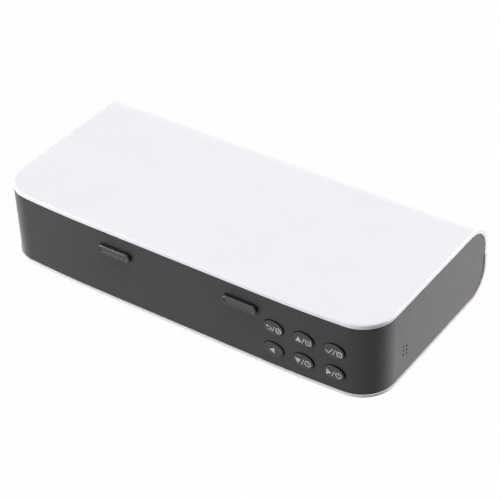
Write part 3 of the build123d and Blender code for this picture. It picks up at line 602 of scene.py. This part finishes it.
# ---------------------------------------------------------------- display and its window
# A reflective liquid-crystal panel in a bent steel frame, under a clear acrylic window with
# a black border printed on its underside.
window_acrylic, window_tree, window_shader = start_material("window_acrylic")
window_point = object_point(window_tree)
window_shader.inputs["Base Color"].default_value = (0.97, 0.98, 0.98, 1.0)
window_tree.links.new(
    spread(window_tree, cloud(window_tree, window_point, 6 * MM), 0.02, 0.06),
    window_shader.inputs["Roughness"],
)
window_shader.inputs["Transmission Weight"].default_value = 1.0
window_shader.inputs["IOR"].default_value = 1.49
dress(window_acrylic, "display_window")
window_low, window_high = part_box("display_window")
border_setback = 1.4 * MM
border_corner = 1.2 * MM
border_width = 3.4 * MM
start_stroke()
bpy.ops.mesh.primitive_plane_add(size=1)
border = bpy.context.object
border.name = "display_border"
border.scale = (
    window_high[0] - window_low[0] - 2 * border_setback,
    window_high[1] - window_low[1] - 2 * border_setback,
    1,
)
border.location = (
    (window_low[0] + window_high[0]) / 2,
    (window_low[1] + window_high[1]) / 2,
    window_low[2] - ink_proud,
)
bpy.ops.object.transform_apply(location=True, rotation=True, scale=True)
bpy.ops.object.mode_set(mode="EDIT")
bpy.ops.mesh.select_all(action="SELECT")
bpy.ops.mesh.bevel(offset=border_corner, segments=5, affect="VERTICES")
bpy.ops.mesh.select_all(action="SELECT")
bpy.ops.mesh.inset(thickness=border_width)
bpy.ops.mesh.delete(type="FACE")
bpy.ops.object.mode_set(mode="OBJECT")
thicken(border)
border_ink = printed("border_ink", (0.010, 0.010, 0.010), (0.016, 0.016, 0.016))
border.data.materials.append(border_ink)
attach(border, "body")

panel, panel_tree, panel_shader = start_material("display_panel")
panel_point = object_point(panel_tree)
panel_low, panel_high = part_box("display_module")
panel_rim = 4.2 * MM
inside = None
for axis, side, towards in (("X", 0, 1), ("X", 0, -1), ("Y", 1, 1), ("Y", 1, -1)):
    limit = panel_low[side] + panel_rim if towards > 0 else panel_high[side] - panel_rim
    edge = boundary(panel_tree, panel_point, axis, limit)
    if towards < 0:
        edge = spread(panel_tree, edge, 1.0, 0.0, 0.0, 1.0)
    if inside is not None:
        both = panel_tree.nodes.new("ShaderNodeMath")
        both.operation = "MULTIPLY"
        panel_tree.links.new(inside, both.inputs[0])
        panel_tree.links.new(edge, both.inputs[1])
        edge = both.outputs["Value"]
    inside = edge
glass_colour = tint(
    panel_tree, cloud(panel_tree, panel_point, 9 * MM), (0.33, 0.38, 0.31), (0.37, 0.42, 0.34)
)
frame_colour = tint(
    panel_tree, cloud(panel_tree, panel_point, 0.8 * MM), (0.42, 0.42, 0.42), (0.52, 0.52, 0.52)
)
panel_tree.links.new(
    blend_colours(panel_tree, inside, frame_colour, glass_colour),
    panel_shader.inputs["Base Color"],
)
panel_tree.links.new(
    spread(panel_tree, inside, 0.35, 0.2, 0.0, 1.0), panel_shader.inputs["Roughness"]
)
panel_tree.links.new(
    spread(panel_tree, inside, 1.0, 0.0, 0.0, 1.0), panel_shader.inputs["Metallic"]
)
dress(panel, "display_module")

# ---------------------------------------------------------------- main and charging boards
# The main board hangs under the deck with its processor, two small chips and two buffer
# capacitors. The small board at the back carries the charging socket.
main_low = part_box("main_board")[0]
dress(circuit("main_circuit", parts_level=main_low[2] + 1.65 * MM), "main_board")
dress(flat_board, "charging_board")
socket_steel = rolled_metal(
    "socket_steel", (0.50, 0.49, 0.47), (0.62, 0.61, 0.59), 0.26, (1.0, 0.2, 1.0)
)
dress(socket_steel, "charging_socket")

# ---------------------------------------------------------------- battery and cradle
# One lithium cell in a shrunk blue sleeve, bare at the ends, rests in a black cradle.
cell_skin, cell_tree, cell_shader = start_material("cell_sleeve")
cell_point = object_point(cell_tree)
cell_low, cell_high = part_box("battery_cell")
bare_end = 1.2 * MM
front_end = boundary(cell_tree, cell_point, "Y", cell_low[1] + bare_end)
rear_end = boundary(cell_tree, cell_point, "Y", cell_high[1] - bare_end)
sleeve = cell_tree.nodes.new("ShaderNodeMath")
sleeve.operation = "SUBTRACT"
cell_tree.links.new(front_end, sleeve.inputs[0])
cell_tree.links.new(rear_end, sleeve.inputs[1])
sleeve_colour = tint(
    cell_tree, cloud(cell_tree, cell_point, 12 * MM), (0.020, 0.075, 0.230), (0.028, 0.095, 0.270)
)
cell_tree.links.new(
    blend_colours(cell_tree, sleeve.outputs["Value"], (0.55, 0.54, 0.52), sleeve_colour),
    cell_shader.inputs["Base Color"],
)
cell_tree.links.new(
    spread(cell_tree, sleeve.outputs["Value"], 1.0, 0.0, 0.0, 1.0), cell_shader.inputs["Metallic"]
)
wrinkles = cloud(cell_tree, object_point(cell_tree, (1.0, 0.25, 1.0)), 2.5 * MM, 3.0)
cell_tree.links.new(spread(cell_tree, wrinkles, 0.22, 0.34), cell_shader.inputs["Roughness"])
cell_tree.links.new(
    raise_surface(cell_tree, wrinkles, 0.03 * MM, 0.4), cell_shader.inputs["Normal"]
)
dress(cell_skin, "battery_cell")
cradle_black = moulded(
    "cradle_black",
    dark=(0.020, 0.020, 0.021),
    light=(0.026, 0.026, 0.027),
    roughness=0.5,
    grain=0.5 * MM,
    grain_depth=0.008 * MM,
)
dress(cradle_black, "battery_cradle")

# ---------------------------------------------------------------- speaker
# A small round speaker glued in its ring: a black paper cone in a pressed steel basket.
speaker_skin, speaker_tree, speaker_shader = start_material("speaker_parts")
speaker_point = object_point(speaker_tree)
speaker_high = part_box("speaker")[1]
cone_side = boundary(speaker_tree, speaker_point, "X", speaker_high[0] - 0.8 * MM)
fibres = cloud(speaker_tree, speaker_point, 0.4 * MM, 4.0)
speaker_tree.links.new(
    blend_colours(speaker_tree, cone_side, (0.46, 0.45, 0.44), (0.022, 0.022, 0.022)),
    speaker_shader.inputs["Base Color"],
)
speaker_tree.links.new(
    spread(speaker_tree, cone_side, 1.0, 0.0, 0.0, 1.0), speaker_shader.inputs["Metallic"]
)
speaker_tree.links.new(spread(speaker_tree, fibres, 0.35, 0.6), speaker_shader.inputs["Roughness"])
speaker_tree.links.new(
    raise_surface(speaker_tree, fibres, 0.02 * MM, 0.5), speaker_shader.inputs["Normal"]
)
dress(speaker_skin, "speaker")

# ---------------------------------------------------------------- feet, pins and screws
# Four rubber discs are glued in recesses under the base. The hinge pins are ground steel,
# and the screws are zinc-plated steel with a cross recess.
dress(rubber("foot_rubber", (0.045, 0.045, 0.046), (0.060, 0.060, 0.061), 0.7), "rubber_feet")
pin_steel = rolled_metal("pin_steel", (0.52, 0.51, 0.50), (0.62, 0.61, 0.60), 0.2, (0.2, 1.0, 1.0))
dress(pin_steel, "hinge_pins")
screw_zinc = rolled_metal(
    "screw_zinc", (0.46, 0.46, 0.47), (0.60, 0.60, 0.61), 0.3, (1.0, 1.0, 1.0)
)
dress(screw_zinc, "board_screws")
screw_low, screw_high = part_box("base_screws")
screw_sides = 24
head_radius = 2.7 * MM
head_height = 1.0 * MM
head_edge = 0.08 * MM
shank_radius = 1.3 * MM
shank_share = shank_radius / head_radius
shank_length = screw_high[2] - screw_low[2] - head_height
recess_reach = 1.45 * MM
recess_depth = 0.75 * MM
recess_taper = 0.6
front_screw_x = 106.33 * MM
start_stroke()
bpy.ops.mesh.primitive_circle_add(vertices=screw_sides, radius=head_radius, fill_type="NGON")
screw = bpy.context.object
bpy.ops.object.mode_set(mode="EDIT")
bpy.ops.mesh.select_all(action="SELECT")
bpy.ops.mesh.inset(thickness=head_radius - recess_reach)
# The ring's corners near the diagonals are drawn in, which leaves the cross.
for turned, drawn_in in ((15, 0.52), (0, 0.37)):
    bpy.ops.mesh.select_all(action="DESELECT")
    bpy.ops.object.mode_set(mode="OBJECT")
    for vertex in screw.data.vertices:
        flat = vertex.co.to_2d()
        from_diagonal = abs(math.degrees(math.atan2(flat.y, flat.x)) % 90 - 45)
        on_ring = flat.length < (head_radius + recess_reach) / 2
        vertex.select = on_ring and abs(from_diagonal - turned) < 1
    bpy.ops.object.mode_set(mode="EDIT")
    bpy.ops.transform.resize(value=(drawn_in, drawn_in, 1), center_override=(0, 0, 0))
bpy.ops.mesh.select_all(action="DESELECT")
bpy.ops.object.mode_set(mode="OBJECT")
for face in screw.data.polygons:
    face.select = len(face.vertices) == screw_sides
bpy.ops.object.mode_set(mode="EDIT")
bpy.ops.mesh.select_mode(type="FACE")
bpy.ops.mesh.extrude_region_move(TRANSFORM_OT_translate={"value": (0, 0, recess_depth)})
bpy.ops.transform.resize(
    value=(recess_taper, recess_taper, 1), center_override=(0, 0, recess_depth)
)
bpy.ops.mesh.select_mode(type="VERT")
bpy.ops.mesh.select_all(action="DESELECT")
bpy.ops.object.mode_set(mode="OBJECT")
for vertex in screw.data.vertices:
    vertex.select = vertex.co.to_2d().length > (head_radius + recess_reach) / 2
bpy.ops.object.mode_set(mode="EDIT")
bpy.ops.mesh.select_mode(type="EDGE")
bpy.ops.mesh.extrude_edges_move(TRANSFORM_OT_translate={"value": (0, 0, head_height)})
bpy.ops.mesh.extrude_edges_move(TRANSFORM_OT_translate={"value": (0, 0, 0)})
bpy.ops.transform.resize(value=(shank_share, shank_share, 1), center_override=(0, 0, 0))
bpy.ops.mesh.extrude_edges_move(TRANSFORM_OT_translate={"value": (0, 0, shank_length)})
bpy.ops.mesh.edge_face_add()
bpy.ops.mesh.select_all(action="SELECT")
bpy.ops.mesh.normals_make_consistent(inside=False)
bpy.ops.object.mode_set(mode="OBJECT")
screw_edge = screw.modifiers.new("edge", "BEVEL")
screw_edge.width = head_edge
screw_edge.segments = 2
screw_edge.limit_method = "ANGLE"
bpy.ops.object.modifier_apply(modifier="edge")
bpy.ops.object.shade_smooth_by_angle(angle=math.radians(35))
screw.data.materials.append(screw_zinc)
rear_x, rear_y = screw_high[0] - head_radius, screw_high[1] - head_radius
front_y = screw_low[1] + head_radius
screw_places = (
    (-front_screw_x, front_y),
    (front_screw_x, front_y),
    (-rear_x, rear_y),
    (rear_x, rear_y),
)
for number, place in enumerate(screw_places, 1):
    start_stroke()
    placed = screw.copy()
    placed.data = screw.data.copy()
    placed.name = f"base_screw_{number}"
    bpy.context.collection.objects.link(placed)
    placed.select_set(True)
    bpy.context.view_layer.objects.active = placed
    placed.location = (*place, screw_low[2])
    bpy.ops.object.transform_apply(location=True, rotation=True, scale=True)
    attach(placed, "body")
    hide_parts("base_screws")
bpy.data.objects.remove(screw, do_unlink=True)

# ---------------------------------------------------------------- floor and room
# White paper under the object, in a white room. Seen directly or in a gloss both are
# almost plain white, and as a source of light both are much softer.
floor_size = 8.0
floor_white_share = 0.985
bpy.ops.object.select_all(action="DESELECT")
bpy.ops.mesh.primitive_plane_add(size=floor_size)
floor = bpy.context.object
floor.name = "floor"


def camera_or_mirror_ray(tree):
    """1 for rays from the camera, from a gloss or through glass, and 0 for light."""
    path = tree.nodes.new("ShaderNodeLightPath")
    largest = path.outputs["Is Camera Ray"]
    for kind in ("Is Glossy Ray", "Is Transmission Ray"):
        either = tree.nodes.new("ShaderNodeMath")
        either.operation = "MAXIMUM"
        tree.links.new(largest, either.inputs[0])
        tree.links.new(path.outputs[kind], either.inputs[1])
        largest = either.outputs["Value"]
    return largest


floor_material, floor_tree, floor_shader = start_material("floor_paper")
floor_shader.inputs["Base Color"].default_value = (0.42, 0.42, 0.42, 1.0)
floor_shader.inputs["Roughness"].default_value = 0.9
floor_shader.inputs["Specular IOR Level"].default_value = 0.0
white = floor_tree.nodes.new("ShaderNodeEmission")
white.inputs["Strength"].default_value = 1.0
seen = floor_tree.nodes.new("ShaderNodeMixShader")
share = floor_tree.nodes.new("ShaderNodeMath")
share.operation = "MULTIPLY"
share.inputs[1].default_value = floor_white_share
floor_tree.links.new(camera_or_mirror_ray(floor_tree), share.inputs[0])
floor_tree.links.new(share.outputs["Value"], seen.inputs["Fac"])
floor_tree.links.new(floor_shader.outputs["BSDF"], seen.inputs[1])
floor_tree.links.new(white.outputs["Emission"], seen.inputs[2])
floor_tree.links.new(
    seen.outputs["Shader"], floor_tree.nodes["Material Output"].inputs["Surface"]
)
floor.data.materials.append(floor_material)

room = bpy.data.worlds.new("room")
bpy.context.scene.world = room
room.use_nodes = True
room_tree = room.node_tree
soft = room_tree.nodes["Background"]
soft.inputs["Color"].default_value = (1.0, 1.0, 1.0, 1.0)
soft.inputs["Strength"].default_value = 0.2
bright = room_tree.nodes.new("ShaderNodeBackground")
bright.inputs["Color"].default_value = (1.0, 1.0, 1.0, 1.0)
bright.inputs["Strength"].default_value = 1.0
choice = room_tree.nodes.new("ShaderNodeMixShader")
room_tree.links.new(camera_or_mirror_ray(room_tree), choice.inputs["Fac"])
room_tree.links.new(soft.outputs["Background"], choice.inputs[1])
room_tree.links.new(bright.outputs["Background"], choice.inputs[2])
room_tree.links.new(
    choice.outputs["Shader"], room_tree.nodes["World Output"].inputs["Surface"]
)

# ---------------------------------------------------------------- lamps
# One large soft box overhead, and two low ones that graze the front and the right end.
middle = (cad_box[0] + cad_box[1]) / 2
lamp_distance = 1.6


def soft_box(name, azimuth, elevation, width, height, power):
    """A flat lamp that faces the object; azimuth 0 is the front and 90 the right end."""
    turn = math.radians(azimuth)
    rise = math.radians(elevation)
    back = Vector(
        (
            math.sin(turn) * math.cos(rise),
            -math.cos(turn) * math.cos(rise),
            math.sin(rise),
        )
    )
    bpy.ops.object.light_add(type="AREA", location=middle + lamp_distance * back)
    lamp = bpy.context.object
    lamp.name = name
    lamp.rotation_mode = "QUATERNION"
    lamp.rotation_quaternion = back.to_track_quat("Z", "Y")
    lamp.data.shape = "RECTANGLE"
    lamp.data.size = width
    lamp.data.size_y = height
    lamp.data.energy = power
    lamp.visible_camera = False


soft_box("overhead_lamp", azimuth=0, elevation=90, width=1.2, height=1.2, power=18.6)
soft_box("right_lamp", azimuth=145, elevation=7, width=0.6, height=0.5, power=32.0)
soft_box("left_lamp", azimuth=-45, elevation=8, width=0.6, height=0.5, power=22.0)

# ---------------------------------------------------------------- camera
# A long lens from the front right, looking down at the box and rolled slightly.
camera_azimuth = math.radians(35.977)
camera_elevation = math.radians(36.890)
camera_roll = math.radians(-2.306)
camera_distance = 869.95 * MM
look_at = Vector((5.236, 1.164, 15.106)) * MM
back = Vector(
    (
        math.sin(camera_azimuth) * math.cos(camera_elevation),
        -math.cos(camera_azimuth) * math.cos(camera_elevation),
        math.sin(camera_elevation),
    )
)
level = Vector((0, 0, 1)).cross(back).normalized()
upright = back.cross(level)
right = math.cos(camera_roll) * level + math.sin(camera_roll) * upright
up = math.cos(camera_roll) * upright - math.sin(camera_roll) * level
camera_data = bpy.data.cameras.new("camera")
camera_data.sensor_width = 36.0
camera_data.lens = 119.916
camera = bpy.data.objects.new("camera", camera_data)
bpy.context.scene.collection.objects.link(camera)
turned = Matrix((right, up, back)).transposed().to_4x4()
camera.matrix_world = Matrix.Translation(look_at + camera_distance * back) @ turned
bpy.context.scene.camera = camera
bpy.context.scene.view_settings.view_transform = "Standard"
